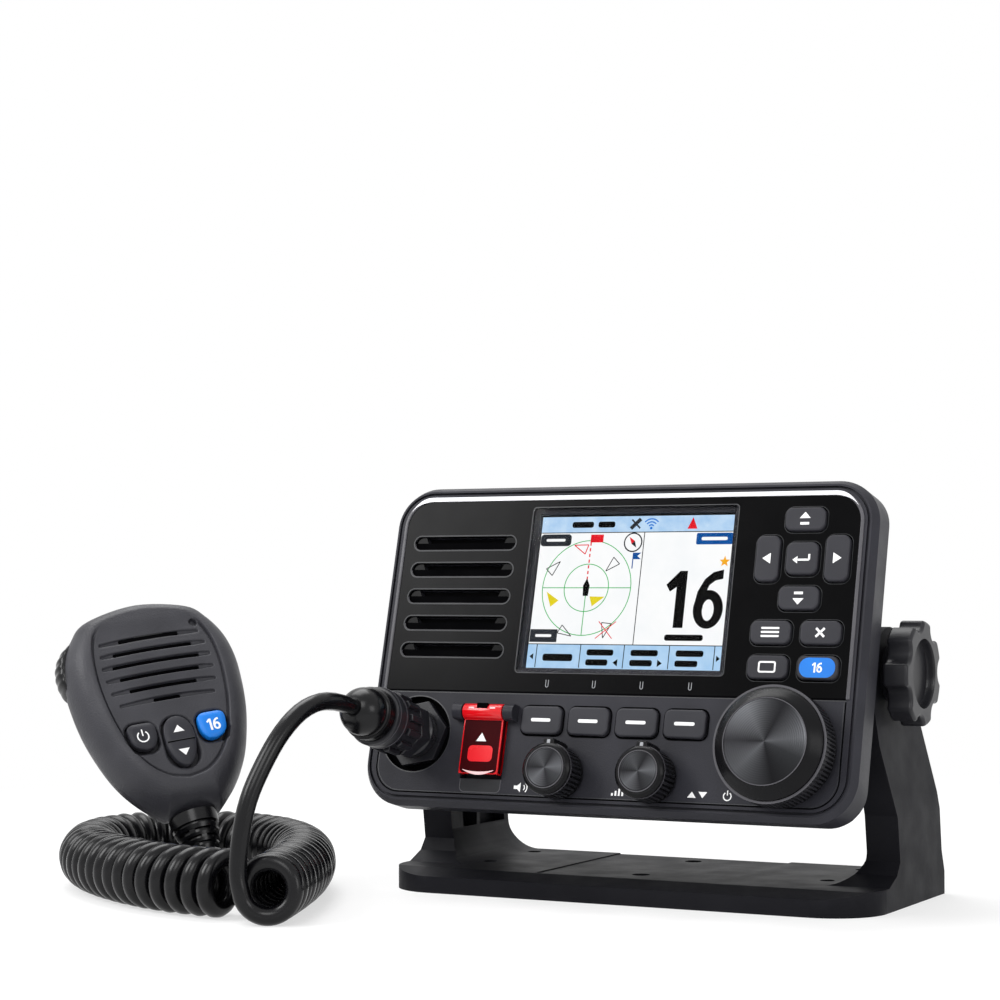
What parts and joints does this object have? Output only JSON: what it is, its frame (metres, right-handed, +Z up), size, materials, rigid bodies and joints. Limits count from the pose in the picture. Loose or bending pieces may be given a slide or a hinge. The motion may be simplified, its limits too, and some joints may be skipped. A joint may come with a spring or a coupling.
{
  "type": "vhf marine radio",
  "caption": "Fixed-mount VHF marine radio with a colour screen, tilting on a U bracket, and a fist microphone on a curly cord.",
  "frame": {"origin": "centre of the bracket base's underside, on the surface it is screwed to", "axes": "+X to the right of someone facing the set, -Y out of the front, +Z up"},
  "size_m": [0.3185, 0.1898, 0.1468],
  "materials": {
    "painted_aluminium": "fine satin black powder coat",
    "case_plastic": "fine-grained black moulding",
    "fascia_gloss": "glossy black",
    "window_glass": "clear",
    "display_panel": "lit colour screen",
    "key_rubber": "satin black, white symbols",
    "key_blue": "satin blue",
    "knob_plastic": "ribbed black",
    "soft_rubber": "satin black",
    "connector_plastic": "black",
    "cover_red": "clear red",
    "button_red": "bright red",
    "circuit_board": "green laminate",
    "speaker_cone": "paper cone",
    "cloth": "black mesh",
    "steel": "stainless",
    "brass": "turned",
    "nickel": "nickel plate",
    "washer_plastic": "black nylon"
  },
  "bodies": {
    "mount": {"bracket": "painted_aluminium", "friction_washers": "washer_plastic", "cord_coil": "soft_rubber", "cord_tail": "soft_rubber", "cord_lead": "soft_rubber", "mic_front_shell": "case_plastic", "mic_rear_shell": "case_plastic", "mic_speaker": "speaker_cone", "mic_board": "circuit_board", "mic_boot": "soft_rubber", "mic_screws": "steel", "mic_hanger_stud": "steel"},
    "set": {"front_case": "case_plastic", "fascia": "fascia_gloss", "display_window": "window_glass", "display_module": "display_panel", "speaker": "speaker_cone", "speaker_cloth": "cloth", "front_board": "circuit_board", "main_board": "circuit_board", "chassis": "painted_aluminium", "case_seal": "soft_rubber", "chassis_screws": "steel", "mic_socket": "connector_plastic", "socket_nut": "connector_plastic", "antenna_socket": "nickel", "network_socket": "connector_plastic", "power_gland": "connector_plastic", "knob_inserts": "brass", "encoders": "circuit_board", "channel_encoder": "circuit_board", "plug_body": "connector_plastic", "plug_boot": "soft_rubber", "distress_hinge_pin": "steel"},
    "body_side_knob_right": {"side_knob_right": "knob_plastic"},
    "body_side_knob_left": {"side_knob_left": "knob_plastic"},
    "body_volume_knob": {"volume_knob": "knob_plastic"},
    "body_squelch_knob": {"squelch_knob": "knob_plastic"},
    "body_channel_shaft": {"channel_shaft": "steel"},
    "body_channel_knob": {"channel_knob": "knob_plastic"},
    "body_key_channel_up": {"key_channel_up": "key_rubber"},
    "body_key_left": {"key_left": "key_rubber"},
    "body_key_enter": {"key_enter": "key_rubber"},
    "body_key_right": {"key_right": "key_rubber"},
    "body_key_channel_down": {"key_channel_down": "key_rubber"},
    "body_key_menu": {"key_menu": "key_rubber"},
    "body_key_clear": {"key_clear": "key_rubber"},
    "body_key_display": {"key_display": "key_rubber"},
    "body_key_16": {"key_16": "key_rubber"},
    "body_soft_key_1": {"soft_key_1": "key_rubber"},
    "body_soft_key_2": {"soft_key_2": "key_rubber"},
    "body_soft_key_3": {"soft_key_3": "key_rubber"},
    "body_soft_key_4": {"soft_key_4": "key_rubber"},
    "body_distress_button": {"distress_button": "button_red"},
    "body_distress_cover": {"distress_cover": "cover_red"},
    "body_plug_ring": {"plug_ring": "connector_plastic"},
    "body_mic_ptt": {"mic_ptt": "knob_plastic"},
    "body_mic_power_key": {"mic_power_key": "key_rubber"},
    "body_mic_channel_rocker": {"mic_channel_rocker": "key_rubber"},
    "body_mic_key_16": {"mic_key_16": "key_blue"}
  },
  "joints": [
    {"name": "tilt", "type": "hinge", "parent": "mount", "child": "set", "pos_m": [0, -0.004, 0.0807], "axis": [1, 0, 0], "range_deg": [-30, 25], "deforming": ["cord_lead"]},
    {"name": "side_knob_right_turn", "type": "hinge", "parent": "mount", "child": "body_side_knob_right", "pos_m": [0.0943, -0.004, 0.0807], "axis": [1, 0, 0], "continuous": true},
    {"name": "side_knob_left_turn", "type": "hinge", "parent": "mount", "child": "body_side_knob_left", "pos_m": [-0.0943, -0.004, 0.0807], "axis": [1, 0, 0], "continuous": true},
    {"name": "volume_turn", "type": "hinge", "parent": "set", "child": "body_volume_knob", "pos_m": [-0.0138, -0.05771, 0.04703], "axis": [0, 0.9666, -0.2561], "range_deg": [-150, 150]},
    {"name": "squelch_turn", "type": "hinge", "parent": "set", "child": "body_squelch_knob", "pos_m": [0.0214, -0.05771, 0.04703], "axis": [0, 0.9666, -0.2561], "range_deg": [-150, 150]},
    {"name": "channel_push", "type": "slide", "parent": "set", "child": "body_channel_shaft", "axis": [0, 0.9666, -0.2561], "range_m": [0, 0.0006], "stiffness_N_per_m": 3000, "springref_m": -0.0008},
    {"name": "channel_turn", "type": "hinge", "parent": "body_channel_shaft", "child": "body_channel_knob", "pos_m": [0.0676, -0.05884, 0.0584], "axis": [0, 0.9666, -0.2561], "continuous": true},
    {"name": "key_channel_up_press", "type": "slide", "parent": "set", "child": "body_key_channel_up", "axis": [0, 0.9666, -0.2561], "range_m": [0, 0.0008], "stiffness_N_per_m": 1500, "springref_m": -0.0006},
    {"name": "key_left_press", "type": "slide", "parent": "set", "child": "body_key_left", "axis": [0, 0.9666, -0.2561], "range_m": [0, 0.0008], "stiffness_N_per_m": 1500, "springref_m": -0.0006},
    {"name": "key_enter_press", "type": "slide", "parent": "set", "child": "body_key_enter", "axis": [0, 0.9666, -0.2561], "range_m": [0, 0.0008], "stiffness_N_per_m": 1500, "springref_m": -0.0006},
    {"name": "key_right_press", "type": "slide", "parent": "set", "child": "body_key_right", "axis": [0, 0.9666, -0.2561], "range_m": [0, 0.0008], "stiffness_N_per_m": 1500, "springref_m": -0.0006},
    {"name": "key_channel_down_press", "type": "slide", "parent": "set", "child": "body_key_channel_down", "axis": [0, 0.9666, -0.2561], "range_m": [0, 0.0008], "stiffness_N_per_m": 1500, "springref_m": -0.0006},
    {"name": "key_menu_press", "type": "slide", "parent": "set", "child": "body_key_menu", "axis": [0, 0.9666, -0.2561], "range_m": [0, 0.0008], "stiffness_N_per_m": 1500, "springref_m": -0.0006},
    {"name": "key_clear_press", "type": "slide", "parent": "set", "child": "body_key_clear", "axis": [0, 0.9666, -0.2561], "range_m": [0, 0.0008], "stiffness_N_per_m": 1500, "springref_m": -0.0006},
    {"name": "key_display_press", "type": "slide", "parent": "set", "child": "body_key_display", "axis": [0, 0.9666, -0.2561], "range_m": [0, 0.0008], "stiffness_N_per_m": 1500, "springref_m": -0.0006},
    {"name": "key_16_press", "type": "slide", "parent": "set", "child": "body_key_16", "axis": [0, 0.9666, -0.2561], "range_m": [0, 0.0008], "stiffness_N_per_m": 1500, "springref_m": -0.0006},
    {"name": "soft_key_1_press", "type": "slide", "parent": "set", "child": "body_soft_key_1", "axis": [0, 0.9666, -0.2561], "range_m": [0, 0.0008], "stiffness_N_per_m": 1500, "springref_m": -0.0006},
    {"name": "soft_key_2_press", "type": "slide", "parent": "set", "child": "body_soft_key_2", "axis": [0, 0.9666, -0.2561], "range_m": [0, 0.0008], "stiffness_N_per_m": 1500, "springref_m": -0.0006},
    {"name": "soft_key_3_press", "type": "slide", "parent": "set", "child": "body_soft_key_3", "axis": [0, 0.9666, -0.2561], "range_m": [0, 0.0008], "stiffness_N_per_m": 1500, "springref_m": -0.0006},
    {"name": "soft_key_4_press", "type": "slide", "parent": "set", "child": "body_soft_key_4", "axis": [0, 0.9666, -0.2561], "range_m": [0, 0.0008], "stiffness_N_per_m": 1500, "springref_m": -0.0006},
    {"name": "distress_press", "type": "slide", "parent": "set", "child": "body_distress_button", "axis": [0, 0.9666, -0.2561], "range_m": [0, 0.0012], "stiffness_N_per_m": 1500, "springref_m": -0.0006},
    {"name": "distress_cover_open", "type": "hinge", "parent": "set", "child": "body_distress_cover", "pos_m": [-0.0452, -0.04898, 0.06634], "axis": [-1, 0, 0], "range_deg": [0, 100], "stiffness_Nm_per_rad": 0.002, "springref_deg": -28.65},
    {"name": "plug_ring_turn", "type": "hinge", "parent": "set", "child": "body_plug_ring", "pos_m": [-0.0736, -0.06797, 0.06299], "axis": [0, 0.9666, -0.2561], "continuous": true},
    {"name": "mic_ptt_press", "type": "slide", "parent": "mount", "child": "body_mic_ptt", "axis": [0.5943, 0.7912, 0.1438], "range_m": [0, 0.0015], "stiffness_N_per_m": 2000, "springref_m": -0.0006},
    {"name": "mic_power_press", "type": "slide", "parent": "mount", "child": "body_mic_power_key", "axis": [-0.6605, 0.5823, -0.4741], "range_m": [0, 0.0006], "stiffness_N_per_m": 1500, "springref_m": -0.0006},
    {"name": "mic_key_16_press", "type": "slide", "parent": "mount", "child": "body_mic_key_16", "axis": [-0.6605, 0.5823, -0.4741], "range_m": [0, 0.0006], "stiffness_N_per_m": 1500, "springref_m": -0.0006},
    {"name": "mic_channel_rock", "type": "hinge", "parent": "mount", "child": "body_mic_channel_rocker", "pos_m": [-0.15933, -0.07381, 0.05303], "axis": [0.5943, 0.7912, 0.1438], "range_deg": [-4, 4], "stiffness_Nm_per_rad": 0.1}
  ]
}
